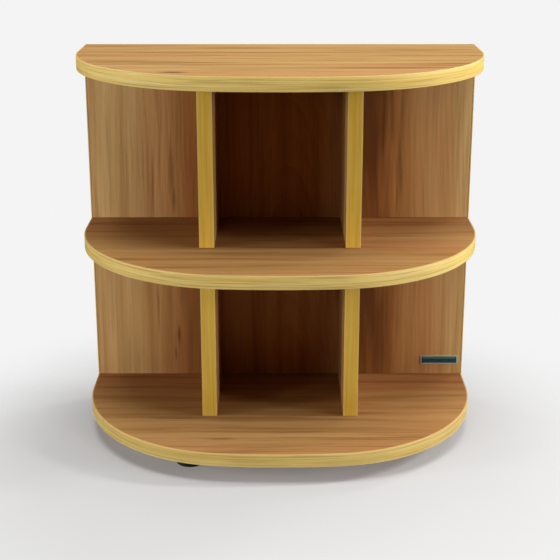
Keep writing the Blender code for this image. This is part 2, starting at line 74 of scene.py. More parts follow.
# --- Label plate: a pale rim round a sunk field, with one stripe in it ---
LABEL_CORNER = 0.0016
LABEL_LEAST_CORNER = LABEL_CORNER / 3
LABEL_CORNER_STEPS = 6
LABEL_RIM = 0.0013
LABEL_SINK = 0.00025
LABEL_EDGE = 0.00015
STRIPE_HEIGHT = LABEL_RIM
STRIPE_CORNER = STRIPE_HEIGHT / 3
STRIPE_END_GAP = 2.5 * LABEL_RIM
STRIPE_DROP = 2.6 * LABEL_RIM
STRIPE_SINK = LABEL_SINK / 3

# --- Smooth shading: edges sharper than the creases stay crisp, and points this near are one ---
PIECE_CREASE = math.radians(30)
CAD_CREASE = math.radians(35)
CAD_WELD = 0.000002


# ------------------------------------------------------------------------------------------------
# Colours
# ------------------------------------------------------------------------------------------------

def linear(red, green, blue):
    """An sRGB colour, each part from 0 to 255, as the linear RGBA that the nodes use."""
    parts = []
    for part in (red, green, blue):
        share = part / 255
        parts.append(share / 12.92 if share <= 0.04045 else ((share + 0.055) / 1.055) ** 2.4)
    return (*parts, 1.0)


WHITE = (1.0, 1.0, 1.0, 1.0)

# --- Colours of the veneer ---
VENEER_PALE = linear(212, 168, 113)
VENEER_MIDDLE = linear(200, 153, 98)
VENEER_BROWN = linear(180, 131, 80)
VENEER_SALMON = linear(208, 142, 96)
VENEER_STREAK = linear(142, 88, 46)
# The brown of knots, also laid broad and soft beside the dividers as painted shade.
VENEER_KNOT_AND_SHADE = linear(96, 58, 30)

# --- Tints that multiply a board's colour, as linear (red, green, blue); several paint in light or shade ---
TOP_TINT = (0.80, 0.82, 0.73)
# Redder and darker than the top's tint: painted shade on the middle and bottom boards, under the
# boards above.
SHELF_PAINTED_SHADE_TINT = (0.79, 0.75, 0.64)
DIVIDER_TINT = (0.78, 0.74, 0.62)
# Lighter than the lower panel's tint: painted light against the shade of the top board's overhang.
UPPER_PANEL_PAINTED_LIGHT_TINT = (1.18, 1.22, 1.22)
LOWER_PANEL_TINT = (1.06, 1.06, 1.01)
# Painted shade across the middle of each back panel, and painted light at its outer ends.
PANEL_MIDDLE_SHADE_TINT = (0.76, 0.58, 0.45)
PANEL_END_LIGHT_TINT = (1.34, 1.48, 1.52)
# Painted shade towards the rear of the middle and bottom shelves, under the board above.
SHELF_REAR_SHADE_TINT = (0.74, 0.64, 0.62)
FRONT_TINT = (1.0, 1.0, 1.0)

# --- Colours of the edge bands, and how light the band of each shelf is, from the bottom up, as painted shade on the bottom band and painted light on the top one ---
SHELF_BAND_TONES = (linear(226, 190, 98), linear(242, 208, 118), linear(248, 222, 146))
DIVIDER_BAND_TONES = (linear(238, 190, 72), linear(247, 202, 80), linear(250, 210, 94))
BAND_LINE = linear(158, 118, 54)
# A paler colour along the arrises of every band: a painted highlight.
BAND_ARRIS_HIGHLIGHT = linear(238, 208, 142)
BAND_TRIM = linear(198, 158, 96)
SHELF_BAND_PAINTED_LEVELS = (0.80, 1.02, 1.09)
# The upper divider bands are lighter than the lower: painted light on the upper, painted shade on
# the lower.
DIVIDER_BAND_PAINTED_LEVELS = {"upper": 1.06, "lower": 0.96}

# --- Colours of the dowels, the base, its hardware and the label ---
BEECH_PALE = linear(222, 190, 150)
BEECH_BROWN = linear(190, 150, 110)
PAINT_BLACK = linear(24, 24, 25)
PAINT_GREY = linear(44, 44, 45)
RUBBER_BLACK = linear(22, 22, 23)
RUBBER_GREY = linear(40, 40, 41)
STEEL_PALE = linear(206, 207, 210)
STEEL_DULL = linear(168, 170, 174)
LABEL_TEAL = linear(14, 88, 104)
LABEL_DEEP = linear(8, 62, 78)
LABEL_SILVER = linear(196, 218, 206)
LABEL_GREEN = linear(110, 172, 150)


# ------------------------------------------------------------------------------------------------
# Node graphs
# ------------------------------------------------------------------------------------------------

# --- Sockets that a Mix node uses for colours ---
MIX_SHARE = 0
MIX_FIRST = 6
MIX_SECOND = 7
MIX_RESULT = 2


class Graph:
    """A new material, with short calls that add one node each and return its output."""

    def __init__(self, name, roughness=0.5, metallic=0.0, specular=0.5):
        self.material = bpy.data.materials.new(name)
        self.material.use_nodes = True
        self.tree = self.material.node_tree
        self.shader = self.tree.nodes["Principled BSDF"]
        self.shader.inputs["Roughness"].default_value = roughness
        self.shader.inputs["Metallic"].default_value = metallic
        self.shader.inputs["Specular IOR Level"].default_value = specular
        self.place = self.node("ShaderNodeTexCoord").outputs["Object"]

    def feed(self, socket, value):
        """Give a socket a plain value, or link it to an output."""
        if isinstance(value, bpy.types.NodeSocket):
            self.tree.links.new(value, socket)
        else:
            socket.default_value = value

    def node(self, kind, *values, **settings):
        """Add a node, set its properties and give its sockets their values in order."""
        made = self.tree.nodes.new(kind)
        for setting, value in settings.items():
            setattr(made, setting, value)
        for socket, value in zip(made.inputs, values):
            self.feed(socket, value)
        return made

    def calculate(self, operation, *values):
        """One math node."""
        return self.node("ShaderNodeMath", *values, operation=operation).outputs[0]

    def axes(self):
        """A point's X, Y and Z in the row frame."""
        return self.node("ShaderNodeSeparateXYZ", self.place).outputs

    def combine(self, x, y, z):
        """A vector from its three parts."""
        return self.node("ShaderNodeCombineXYZ", x, y, z).outputs[0]

    def noise(self, vector, scale, seed, detail=2.0, roughness=0.5):
        """Noise from 0 to 1 whose scale, in waves per metre, may differ along each axis."""
        stretched = self.node("ShaderNodeVectorMath", vector, scale, operation="MULTIPLY")
        made = self.node("ShaderNodeTexNoise", stretched.outputs[0], noise_dimensions="4D")
        made.inputs["W"].default_value = seed
        made.inputs["Scale"].default_value = 1.0
        made.inputs["Detail"].default_value = detail
        made.inputs["Roughness"].default_value = roughness
        return made.outputs[0]

    def even_noise(self, scale, seed, detail=2.0):
        """Noise in the row frame with the same scale, in waves per metre, along every axis."""
        return self.noise(self.place, (scale, scale, scale), seed, detail)

    def drawn_noise(self, vector, waves, seed, detail=2.0, roughness=0.5):
        """Noise with one scale along the vector's first axis and another along the other two."""
        first, others = waves
        return self.noise(vector, (first, others, others), seed, detail, roughness)

    def remap(self, value, from_low, from_high, to_low=0.0, to_high=1.0, kind="SMOOTHSTEP"):
        """Map a range of a value to another range, clamped at its ends."""
        made = self.node("ShaderNodeMapRange", interpolation_type=kind)
        for name, given in (
            ("Value", value),
            ("From Min", from_low),
            ("From Max", from_high),
            ("To Min", to_low),
            ("To Max", to_high),
        ):
            self.feed(made.inputs[name], given)
        return made.outputs[0]

    def ramp(self, value, stops):
        """A colour ramp through (position, colour) stops."""
        made = self.node("ShaderNodeValToRGB", value)
        band = made.color_ramp
        while len(band.elements) < len(stops):
            band.elements.new(1.0)
        for element, (position, colour) in zip(band.elements, stops):
            element.position = position
            element.color = colour
        return made.outputs[0]

    def blend(self, share, first, second, kind="MIX"):
        """Mix two colours."""
        made = self.node("ShaderNodeMix", data_type="RGBA", blend_type=kind)
        self.feed(made.inputs[MIX_SHARE], share)
        self.feed(made.inputs[MIX_FIRST], first)
        self.feed(made.inputs[MIX_SECOND], second)
        return made.outputs[MIX_RESULT]

    def shade(self, colour, value):
        """Multiply a colour by a grey value."""
        return self.blend(1.0, colour, self.combine(value, value, value), "MULTIPLY")

    def stain(self, colour, tint):
        """Multiply a colour by a (red, green, blue) tint."""
        return self.blend(1.0, colour, (*tint, 1.0), "MULTIPLY")

    def finish(self, colour, roughness, height, depth):
        """Connect the colour, the roughness and a bump of the given depth to the shader."""
        self.feed(self.shader.inputs["Base Color"], colour)
        self.feed(self.shader.inputs["Roughness"], roughness)
        bump = self.node("ShaderNodeBump")
        bump.inputs["Distance"].default_value = depth
        self.feed(bump.inputs["Height"], height)
        self.feed(self.shader.inputs["Normal"], bump.outputs[0])
        return self.material


# ------------------------------------------------------------------------------------------------
# Wood materials
# ------------------------------------------------------------------------------------------------

# --- Noises of the veneer, in waves per metre along the grain and across it ---
WANDER_WAVES = (3.0, 9.0)
TONE_WAVES = (1.3, 42.0)
CAST_WAVES = (2.2, 16.0)
KNOT_EDGE_WAVES = (7.0, 85.0)
RING_PATCH_WAVES = (4.0, 20.0)
FIBRE_WAVES = (9.0, 620.0)
PORE_WAVES = (42.0, 1500.0)
STREAK_WAVES_ALONG = 3.4

# --- Shapes in the veneer: widths and depths in metres, the wobble in a knot's half widths ---
WANDER_WIDTH = 0.020
HEART_DEPTH = 0.030
RINGS_PER_METRE = 150.0
RING_SHARPNESS = 3.0
KNOT_WOBBLE = 1.6

# --- How strongly the veneer's features show in its colour, from 0 to 1 ---
SALMON_STRENGTH = 0.55
RING_STRENGTHS = (0.02, 0.13)
FIBRE_STRENGTH = 0.13
PORE_STRENGTH = 0.10

# --- Finish of the veneer: rougher where the wood is brown, and in the pores ---
VENEER_SPECULAR = 0.12
VENEER_ROUGHNESS = (0.72, 0.62)
PORE_DULLNESS = 0.15
PORE_RELIEF = 0.6
VENEER_RELIEF = 0.00006

# --- Noises of the edge bands, in waves per metre across the plies and along them ---
PLY_WAVES = (330.0, 3.0)
PLY_LINE_WAVES = (640.0, 9.0)
BAND_STREAK_WAVES = (1500.0, 14.0)
BAND_PATCH_WAVES = (40.0, 14.0)

# --- Colour of the edge bands: where the ply noise takes each tone, and how strong the rest is ---
BAND_TONE_STOPS = (0.30, 0.50, 0.68)
BAND_STREAK_STRENGTH = 0.12
BAND_PATCH_STRENGTH = 0.07
# How strongly the painted highlight along the arrises shows.
ARRIS_HIGHLIGHT_STRENGTH = 0.35

# --- How far in from a band's faces its painted arris highlight and its trim colour start, and are full ---
ARRIS_HIGHLIGHT_DEPTHS = (0.0026, 0.0010)
TRIM_DEPTHS = (0.0004, 0.0002)

# --- Finish of the edge bands ---
BAND_SPECULAR = 0.2
BAND_ROUGHNESS = (0.60, 0.48)
BAND_RELIEF = 0.00005

# --- Noises of the beech, in waves per metre along X, Y and Z; the dowels stand upright ---
BEECH_FIBRE_WAVES = (900.0, 900.0, 30.0)
BEECH_FLECK_WAVES = (1400.0, 1400.0, 260.0)
BEECH_RELIEF = 0.00005


def knot_and_shade_masks(graph, along, across, knots_and_shades, seed):
    """How strongly a point lies in a knot or in a broad patch of painted shade, from 0 to 1.

    A knot or patch is (place along the grain, place across it, half length, half width, strength).
    """
    wobble = graph.drawn_noise(graph.combine(along, across, 0.0), KNOT_EDGE_WAVES, seed + 3.0)
    total = 0.0
    for place_along, place_across, half_length, half_width, strength in knots_and_shades:
        along_share = graph.calculate("SUBTRACT", along, place_along)
        along_share = graph.calculate("DIVIDE", along_share, half_length)
        across_share = graph.calculate("SUBTRACT", across, place_across)
        across_share = graph.calculate("DIVIDE", across_share, half_width)
        across_share = graph.calculate("SUBTRACT", across_share, KNOT_WOBBLE / 2)
        across_share = graph.calculate("MULTIPLY_ADD", wobble, KNOT_WOBBLE, across_share)
        offset = graph.combine(along_share, across_share, 0.0)
        distance = graph.node("ShaderNodeVectorMath", offset, operation="LENGTH").outputs["Value"]
        mask = graph.remap(distance, 1.0, 0.1, 0.0, strength)
        total = graph.calculate("MAXIMUM", mask, total)
    return total


def veneer_tone(graph, flow, tone, streaks, seed):
    """Broad bands of pale and brown wood, a salmon cast in patches and long wavy streaks."""
    colour = graph.ramp(
        tone,
        ((0.30, VENEER_BROWN), (0.45, VENEER_MIDDLE), (0.62, VENEER_PALE), (0.75, VENEER_MIDDLE)),
    )
    cast = graph.drawn_noise(flow, CAST_WAVES, seed + 2.0, detail=3.0)
    salmon = graph.remap(cast, 0.46, 0.72, 0.0, SALMON_STRENGTH)
    colour = graph.blend(salmon, colour, VENEER_SALMON)
    spacing, strength = streaks
    waves = (STREAK_WAVES_ALONG, spacing)
    brown = graph.drawn_noise(flow, waves, seed + 7.0, detail=5.0, roughness=0.62)
    return graph.blend(graph.remap(brown, 0.48, 0.66, 0.0, strength), colour, VENEER_STREAK)


def growth_rings(graph, flow, along, side, slope, seed):
    """How dark the growth rings are: arcs about the heart that fade in and end sharply."""
    rise = graph.calculate("MULTIPLY_ADD", along, slope, HEART_DEPTH)
    rise_squared = graph.calculate("MULTIPLY", rise, rise)
    radius = graph.calculate("SQRT", graph.calculate("MULTIPLY_ADD", side, side, rise_squared))
    phase = graph.calculate("FRACT", graph.calculate("MULTIPLY", radius, RINGS_PER_METRE))
    late_wood = graph.calculate("POWER", phase, RING_SHARPNESS)
    patches = graph.drawn_noise(flow, RING_PATCH_WAVES, seed + 4.0)
    return graph.calculate("MULTIPLY", late_wood, graph.remap(patches, 0.35, 0.65, *RING_STRENGTHS))


def painted_shade_and_light_tint(graph, side, turn, ends):
    """Painted shade and light: a tint that changes from the first of ends to the second with
    distance from the heart.
    """
    share = graph.remap(graph.calculate("ABSOLUTE", side), *turn)
    first, second = ends
    return graph.blend(share, (*first, 1.0), (*second, 1.0))


def veneer(name, grain, face, seed, heart, slope, tint, streaks, knots_and_shades=(), turn=(), ends=()):
    """Satin wood veneer.

    grain and face are the axes along and across the grain.  heart is where the arched figure is
    centred across the grain, and slope how steeply its growth rings are cut.  tint multiplies the
    colour of the whole board.  streaks is how many brown streaks cross a metre of the board, and
    how strong they are.  turn is the pair of distances from the heart over which painted shade
    and painted light change the colour from the first to the second of the two tints in ends.
    """
    graph = Graph(name, specular=VENEER_SPECULAR)
    parts = graph.axes()
    depth_axis = ({"X", "Y", "Z"} - {grain, face}).pop()
    along = parts[grain]
    across = parts[face]
    place = graph.combine(along, across, parts[depth_axis])
    wander = graph.drawn_noise(place, WANDER_WAVES, seed)
    drift = graph.calculate("MULTIPLY_ADD", wander, WANDER_WIDTH, -WANDER_WIDTH / 2)
    bent = graph.calculate("ADD", across, drift)
    flow = graph.combine(along, bent, parts[depth_axis])
    side = graph.calculate("SUBTRACT", bent, heart)

    tone = graph.drawn_noise(flow, TONE_WAVES, seed + 1.0, detail=4.0, roughness=0.55)
    fibres = graph.drawn_noise(flow, FIBRE_WAVES, seed + 5.0, detail=4.0, roughness=0.65)
    pores = graph.drawn_noise(flow, PORE_WAVES, seed + 6.0, detail=1.0)
    pore_mask = graph.remap(pores, 0.60, 0.72)

    darkening = graph.remap(fibres, 0.25, 0.75, FIBRE_STRENGTH, 0.0, kind="LINEAR")
    rings = growth_rings(graph, flow, along, side, slope, seed)
    darkening = graph.calculate("ADD", darkening, rings)
    darkening = graph.calculate("MULTIPLY_ADD", pore_mask, PORE_STRENGTH, darkening)
    colour = veneer_tone(graph, flow, tone, streaks, seed)
    colour = graph.shade(colour, graph.calculate("SUBTRACT", 1.0, darkening))
    colour = graph.stain(colour, tint)
    # Painted shade and painted light that change with distance from the heart.
    if turn:
        colour = graph.blend(1.0, colour, painted_shade_and_light_tint(graph, side, turn, ends), "MULTIPLY")
    # Knots, and on the back panels broad patches of painted shade.
    if knots_and_shades:
        mask = knot_and_shade_masks(graph, along, across, knots_and_shades, seed)
        colour = graph.blend(mask, colour, VENEER_KNOT_AND_SHADE)

    gloss = graph.remap(tone, 0.2, 0.8, *VENEER_ROUGHNESS, kind="LINEAR")
    gloss = graph.calculate("MULTIPLY_ADD", pore_mask, PORE_DULLNESS, gloss)
    height = graph.calculate("MULTIPLY_ADD", pore_mask, -PORE_RELIEF, fibres)
    return graph.finish(colour, gloss, height, VENEER_RELIEF)


def edge_band(
    name, layered, seed, middle, half, tones, lines, trim=0.0, level=1.0, folded=False
):
    """Laminated edge band: fine plies stacked along one axis, with a painted highlight along its
    two arrises.

    layered is the axis across the plies, middle is where the band is centred on it, and half is
    half the band's width.  lines is how dark the lines between plies are, and trim how brown the
    faces are where the band was trimmed flush.  level makes the whole band lighter or darker, as
    painted light or painted shade.  folded takes a pair of bands that mirror each other.
    """
    graph = Graph(name, specular=BAND_SPECULAR)
    parts = graph.axes()
    offset = parts[layered]
    if folded:
        offset = graph.calculate("ABSOLUTE", offset)
    offset = graph.calculate("SUBTRACT", offset, middle)
    others = [axis for axis in "XYZ" if axis != layered]
    flow = graph.combine(offset, parts[others[0]], parts[others[1]])

    plies = graph.drawn_noise(flow, PLY_WAVES, seed)
    streaks = graph.drawn_noise(flow, BAND_STREAK_WAVES, seed + 1.0, detail=3.0, roughness=0.6)
    patches = graph.drawn_noise(flow, BAND_PATCH_WAVES, seed + 2.0, detail=3.0)
    ply_lines = graph.drawn_noise(flow, PLY_LINE_WAVES, seed + 3.0, detail=1.0)
    colour = graph.ramp(plies, tuple(zip(BAND_TONE_STOPS, tones)))
    colour = graph.blend(graph.remap(ply_lines, 0.46, 0.37, 0.0, lines), colour, BAND_LINE)
    darkening = graph.calculate(
        "ADD",
        graph.remap(streaks, 0.30, 0.62, BAND_STREAK_STRENGTH, 0.0, kind="LINEAR"),
        graph.remap(patches, 0.35, 0.65, BAND_PATCH_STRENGTH, 0.0),
    )
    colour = graph.shade(colour, graph.calculate("SUBTRACT", level, darkening))

    distance = graph.calculate("ABSOLUTE", offset)
    # A painted highlight along both arrises, then the brown where the band was trimmed flush.
    for (start, full), strength, edge_colour in (
        (ARRIS_HIGHLIGHT_DEPTHS, ARRIS_HIGHLIGHT_STRENGTH, BAND_ARRIS_HIGHLIGHT),
        (TRIM_DEPTHS, trim, BAND_TRIM),
    ):
        share = graph.remap(distance, half - start, half - full, 0.0, strength)
        colour = graph.blend(share, colour, edge_colour)

    gloss = graph.remap(streaks, 0.3, 0.7, *BAND_ROUGHNESS, kind="LINEAR")
    return graph.finish(colour, gloss, streaks, BAND_RELIEF)


def beech():
    """Plain beech of the dowels, with short flecks along the grain."""
    graph = Graph("beech_dowel")
    fibres = graph.noise(graph.place, BEECH_FIBRE_WAVES, seed=61.0, detail=3.0)
    flecks = graph.noise(graph.place, BEECH_FLECK_WAVES, seed=62.0)
    colour = graph.ramp(fibres, ((0.3, BEECH_BROWN), (0.65, BEECH_PALE)))
    colour = graph.shade(colour, graph.remap(flecks, 0.58, 0.70, 1.0, 0.82))
    return graph.finish(colour, graph.remap(fibres, 0.3, 0.7, 0.62, 0.5), fibres, BEECH_RELIEF)


# ------------------------------------------------------------------------------------------------
# Paint, rubber, metal and label materials
# ------------------------------------------------------------------------------------------------

# --- Noises, in waves per metre, along X, Y and Z where they differ ---
PAINT_PEEL_WAVES = 900.0
PAINT_DUST_WAVES = 18.0
RUBBER_GRAIN_WAVES = 2400.0
RUBBER_WEAR_WAVES = 120.0
METAL_CLOUD_WAVES = 90.0
ROLLED_MARK_WAVES = (1800.0, 120.0, 1800.0)
POLISHED_MARK_WAVES = (700.0, 700.0, 700.0)
SCREW_MARK_WAVES = (900.0, 900.0, 900.0)
LABEL_MOTTLE_WAVES = (160.0, 160.0, 500.0)
LABEL_BRUSHING_WAVES = (60.0, 4000.0, 4000.0)

# --- Depths of the bumps, in metres ---
PAINT_RELIEF = 0.00003
RUBBER_RELIEF = 0.00006
METAL_RELIEF = 0.00002
LABEL_RELIEF = 0.00002


def black_paint():
    """Satin black paint with a slight orange-peel texture and dusty patches."""
    graph = Graph("black_paint")
    peel = graph.even_noise(PAINT_PEEL_WAVES, seed=71.0)
    dust = graph.even_noise(PAINT_DUST_WAVES, seed=72.0, detail=5.0)
    colour = graph.ramp(dust, ((0.45, PAINT_BLACK), (0.75, PAINT_GREY)))
    return graph.finish(colour, graph.remap(dust, 0.3, 0.7, 0.38, 0.58), peel, PAINT_RELIEF)


def black_rubber():
    """Matt moulded rubber."""
    graph = Graph("black_rubber", specular=0.3)
    grain = graph.even_noise(RUBBER_GRAIN_WAVES, seed=81.0, detail=3.0)
    wear = graph.even_noise(RUBBER_WEAR_WAVES, seed=82.0, detail=3.0)
    colour = graph.ramp(wear, ((0.45, RUBBER_BLACK), (0.70, RUBBER_GREY)))
    return graph.finish(colour, graph.remap(grain, 0.3, 0.7, 0.70, 0.86), grain, RUBBER_RELIEF)


def metal(name, mark_waves, seed, low_roughness, high_roughness):
    """Steel or zinc plating: fine marks, cloudy tone and uneven gloss."""
    graph = Graph(name, metallic=1.0)
    clouds = graph.even_noise(METAL_CLOUD_WAVES, seed, detail=4.0)
    marks = graph.noise(graph.place, mark_waves, seed + 1.0, detail=3.0)
    colour = graph.ramp(clouds, ((0.35, STEEL_DULL), (0.65, STEEL_PALE)))
    gloss = graph.remap(marks, 0.3, 0.7, low_roughness, high_roughness)
    return graph.finish(colour, gloss, marks, METAL_RELIEF)


def label_field():
    """Printed teal field with a soft mottle."""
    graph = Graph("label_field")
    mottle = graph.noise(graph.place, LABEL_MOTTLE_WAVES, seed=91.0, detail=4.0)
    colour = graph.ramp(mottle, ((0.35, LABEL_DEEP), (0.65, LABEL_TEAL)))
    return graph.finish(colour, graph.remap(mottle, 0.3, 0.7, 0.28, 0.42), mottle, LABEL_RELIEF)


def label_metal(name, colour, seed):
    """Lightly brushed, tinted metal of the label's rim or stripe."""
    graph = Graph(name, metallic=0.15)
    brushing = graph.noise(graph.place, LABEL_BRUSHING_WAVES, seed)
    toned = graph.shade(colour, graph.remap(brushing, 0.3, 0.7, 0.85, 1.0))
    gloss = graph.remap(brushing, 0.3, 0.7, 0.30, 0.45)
    return graph.finish(toned, gloss, brushing, LABEL_RELIEF)


# ------------------------------------------------------------------------------------------------
# Meshes
# ------------------------------------------------------------------------------------------------

def loft(name, rings, closed=False):
    """A closed skin over rings of points; open ends are capped, or closed joins last to first."""
    data = bmesh.new()
    loops = [[data.verts.new(point) for point in ring] for ring in rings]
    following = loops[1:] + loops[:1] if closed else loops[1:]
    for here, after in zip(loops, following):
        count = len(here)
        for index in range(count):
            beside = (index + 1) % count
            data.faces.new((here[index], here[beside], after[beside], after[index]))
    if not closed:
        data.faces.new(loops[0])
        data.faces.new(loops[-1])
    bmesh.ops.recalc_face_normals(data, faces=data.faces)
    mesh = bpy.data.meshes.new(name)
    data.to_mesh(mesh)
    data.free()
    mesh.shade_smooth()
    mesh.set_sharp_from_angle(angle=PIECE_CREASE)
    return mesh


def place_piece(name, mesh, material, body, replaced=()):
    """Put a mesh into the scene as a piece that rides on a body and stands for CAD nodes."""
    mesh.materials.clear()
    mesh.materials.append(material)
    piece = bpy.data.objects.new(name, mesh)
    bpy.context.scene.collection.objects.link(piece)
    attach(piece, body)
    if replaced:
        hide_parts(*replaced)


def shelf_path(inset, rear_y):
    """The rounded edge of a shelf at an inset, from its rear left round the front to its right."""
    corner_x = SHELF_WIDTH / 2 - CORNER_RADIUS
    front_centre_y = FRONT_Y + FRONT_RADIUS
    between_centres = FRONT_RADIUS - CORNER_RADIUS
    corner_y = front_centre_y - math.sqrt(between_centres ** 2 - corner_x ** 2)
    half_front = math.asin(corner_x / between_centres)
    sweep = math.pi / 2 - half_front
    left = [(inset - SHELF_WIDTH / 2, rear_y)]
    for step in range(CORNER_ARC_STEPS + 1):
        angle = math.pi + sweep * step / CORNER_ARC_STEPS
        x = -corner_x + (CORNER_RADIUS - inset) * math.cos(angle)
        y = corner_y + (CORNER_RADIUS - inset) * math.sin(angle)
        left.append((x, y))
    front = []
    for step in range(1, FRONT_ARC_STEPS):
        angle = half_front * (2 * step / FRONT_ARC_STEPS - 1)
        x = (FRONT_RADIUS - inset) * math.sin(angle)
        y = front_centre_y - (FRONT_RADIUS - inset) * math.cos(angle)
        front.append((x, y))
    right = [(-x, y) for x, y in reversed(left)]
    return left + front + right


def quarter_round(inset, height, radius, start):
    """Points of a rounded corner in a section, as (inset, height), from a starting angle."""
    points = []
    for step in range(ARRIS_STEPS + 1):
        angle = start + math.pi / 2 * step / ARRIS_STEPS
        points.append((inset + radius * math.cos(angle), height + radius * math.sin(angle)))
    return points


def rounded_rectangle(length, height, radius):
    """A centred rectangle with rounded corners, as (x, z) points."""
    outline = []
    for quarter, (side_x, side_z) in enumerate(((1, 1), (-1, 1), (-1, -1), (1, -1))):
        for step in range(LABEL_CORNER_STEPS + 1):
            angle = math.pi / 2 * (quarter + step / LABEL_CORNER_STEPS)
            x = side_x * (length / 2 - radius) + radius * math.cos(angle)
            z = side_z * (height / 2 - radius) + radius * math.sin(angle)
            outline.append((x, z))
    return outline


# ------------------------------------------------------------------------------------------------
# Shelves and their edge bands
# ------------------------------------------------------------------------------------------------

def hole_cutter(low, high):
    """A cylinder round every dowel and screw that enters the space between two heights."""
    data = bmesh.new()
    for name in NODES:
        if not (name.endswith("_dowel") or name.startswith("upper_plate_screw")):
            continue
        pin_low, pin_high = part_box(name)
        if pin_high.z < low or pin_low.z > high:
            continue
        radius = (pin_high.x - pin_low.x) / 2 + HOLE_CLEARANCE
        made = bmesh.ops.create_cone(
            data,
            cap_ends=True,
            segments=HOLE_STEPS,
            radius1=radius,
            radius2=radius,
            depth=pin_high.z - pin_low.z + 2 * HOLE_CLEARANCE,
        )
        bmesh.ops.translate(data, verts=made["verts"], vec=(pin_low + pin_high) / 2)
    mesh = bpy.data.meshes.new("hole_cutter")
    data.to_mesh(mesh)
    data.free()
    cutter = bpy.data.objects.new("hole_cutter", mesh)
    bpy.context.scene.collection.objects.link(cutter)
    return cutter


def drilled(mesh, low, high):
    """The mesh with its dowel and screw holes cut."""
    piece = bpy.data.objects.new("drilled_board", mesh)
    bpy.context.scene.collection.objects.link(piece)
    cutter = hole_cutter(low, high)
    boolean = piece.modifiers.new("holes", "BOOLEAN")
    boolean.operation = "DIFFERENCE"
    boolean.solver = "EXACT"
    boolean.object = cutter
    depsgraph = bpy.context.evaluated_depsgraph_get()
    cut = bpy.data.meshes.new_from_object(piece.evaluated_get(depsgraph))
    bpy.data.objects.remove(piece)
    bpy.data.objects.remove(cutter)
    return cut


def add_board(name, material):
    """A veneered shelf board that runs up to its bands, with a fine glue line round its faces."""
    low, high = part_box(name)
    rings = []
    for inset, height in (
        (BAND + GLUE_LINE, low.z),
        (BAND, low.z + GLUE_LINE),
        (BAND, high.z - GLUE_LINE),
        (BAND + GLUE_LINE, high.z),
    ):
        path = shelf_path(inset, REAR_Y - inset)
        rings.append([(x, y, height) for x, y in path])
    mesh = drilled(loft(name + "_veneered", rings), low.z, high.z)
    place_piece(name + "_veneered", mesh, material, "rack", [name])


def add_round_band(name, material):
    """The band round the sides and front of a shelf, with rounded outer arrises."""
    low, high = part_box(name)
    section = [(BAND, low.z + GLUE_LINE), (BAND - GLUE_LINE, low.z)]
    section += reversed(quarter_round(ARRIS, low.z + ARRIS, ARRIS, math.pi))
    section += reversed(quarter_round(ARRIS, high.z - ARRIS, ARRIS, math.pi / 2))
    section += [(BAND - GLUE_LINE, high.z), (BAND, high.z - GLUE_LINE)]
    paths = [shelf_path(inset, REAR_Y) for inset, height in section]
    rings = []
    for station in range(len(paths[0])):
        ring = []
        for (inset, height), path in zip(section, paths):
            ring.append((*path[station], height))
        rings.append(ring)
    mesh = loft(name + "_rounded", rings)
    place_piece(name + "_rounded", mesh, material, "rack", [name])


def add_label(materials):
    """The plate on the lower back panel: a sunk field, a pale rim and one plain stripe."""
    low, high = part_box("label_plate")
    centre = (low + high) / 2
    length = high.x - low.x
    height = high.z - low.z

    def ring(inset, y):
        """The plate's outline at an inset and a depth."""
        corner = max(LABEL_CORNER - inset, LABEL_LEAST_CORNER)
        outline = rounded_rectangle(length - 2 * inset, height - 2 * inset, corner)
        return [(centre.x + x, y, centre.z + z) for x, z in outline]

    field = loft("label_field", [ring(LABEL_RIM, high.y), ring(LABEL_RIM, low.y + LABEL_SINK)])
    place_piece("label_field", field, materials["field"], "rack", ["label_plate"])
    rim = loft(
        "label_rim",
        [
            ring(0.0, high.y),
            ring(0.0, low.y + LABEL_EDGE),
            ring(LABEL_EDGE, low.y),
            ring(LABEL_RIM - LABEL_EDGE, low.y),
            ring(LABEL_RIM, low.y + LABEL_EDGE),
            ring(LABEL_RIM, high.y),
        ],
        closed=True,
    )
    place_piece("label_rim", rim, materials["rim"], "rack")
    stripe_outline = rounded_rectangle(length - 2 * STRIPE_END_GAP, STRIPE_HEIGHT, STRIPE_CORNER)
    stripe_z = high.z - STRIPE_DROP
    stripe_rings = []
    for y in (low.y + LABEL_SINK, low.y + STRIPE_SINK):
        stripe_rings.append([(centre.x + x, y, stripe_z + z) for x, z in stripe_outline])
    stripe = loft("label_stripe", stripe_rings)
    place_piece("label_stripe", stripe, materials["stripe"], "rack")


# ------------------------------------------------------------------------------------------------
# CAD nodes that stay: their materials and their shading
# ------------------------------------------------------------------------------------------------

def dress(name, material):
    """Give a CAD node its procedural material."""
    node = NODES[name]
    for slot in node.material_slots:
        slot.material = material


def smooth(name):
    """Shade a round CAD node smooth between its real edges."""
    node = NODES[name]
    normals = node.data.attributes.get("custom_normal")
    if normals:
        node.data.attributes.remove(normals)
    node.data.shade_smooth()
    weld = node.modifiers.new("weld", "WELD")
    weld.merge_threshold = CAD_WELD
    split = node.modifiers.new("split", "EDGE_SPLIT")
    split.split_angle = CAD_CREASE
    split.use_edge_sharp = False


# ------------------------------------------------------------------------------------------------
# The cut of each board and band
# ------------------------------------------------------------------------------------------------

# --- Brown streaks, as how many cross a metre of the board and how strong they are ---
SHELF_STREAKS = (74.0, 0.55)
PANEL_STREAKS = (170.0, 0.26)

# --- Hearts: where a board's arched figure is centred across its grain ---
TOP_HEART = 0.035
LOWER_SHELF_HEART = REAR_Y
PANEL_HEART = 0.010
DIVIDER_HEART = 0.04

# --- How steeply a board's growth rings are cut ---
TOP_SLOPE = 0.05
MIDDLE_SLOPE = 0.07
BOTTOM_SLOPE = 0.10
PANEL_SLOPE = 0.14
DIVIDER_SLOPE = 0.12

